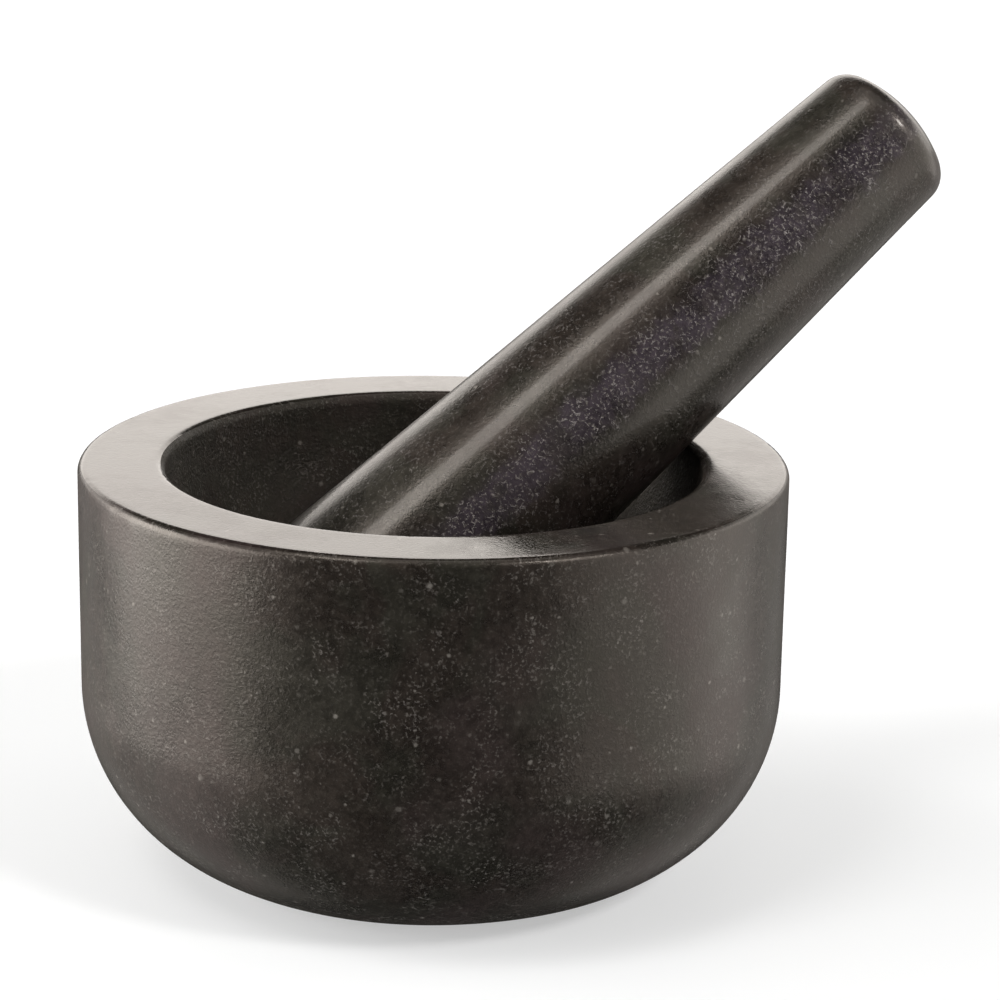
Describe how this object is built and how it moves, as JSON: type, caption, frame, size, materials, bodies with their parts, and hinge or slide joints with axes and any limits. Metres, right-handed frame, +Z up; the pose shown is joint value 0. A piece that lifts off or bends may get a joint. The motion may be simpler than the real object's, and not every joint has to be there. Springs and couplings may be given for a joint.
{
  "type": "mortar and pestle",
  "caption": "Smooth dark granite mortar with an upright wall, flat polished rim, rounded underside and half-round bowl, with a loose tapered granite pestle leaning in it.",
  "frame": {"origin": "centre of the base pad's underside, on the mortar's axis", "axes": "+Z up along the mortar's axis, the pestle leans towards +X, turned 21 degrees towards +Y"},
  "size_m": [0.1719, 0.14, 0.1543],
  "materials": {
    "mortar_granite": "honed to a satin sheen, with a mirror-polished flat rim",
    "pestle_granite": "polished",
    "pad_foam": "matte closed-cell foam"
  },
  "bodies": {
    "mortar": {"mortar": "mortar_granite", "base_pad": "pad_foam"},
    "pestle": {"pestle": "pestle_granite"}
  },
  "joints": [
    {"name": "pestle_lift", "type": "slide", "parent": "mortar", "child": "pestle", "axis": [0, 0, 1], "range_m": [0, 0.06]}
  ]
}
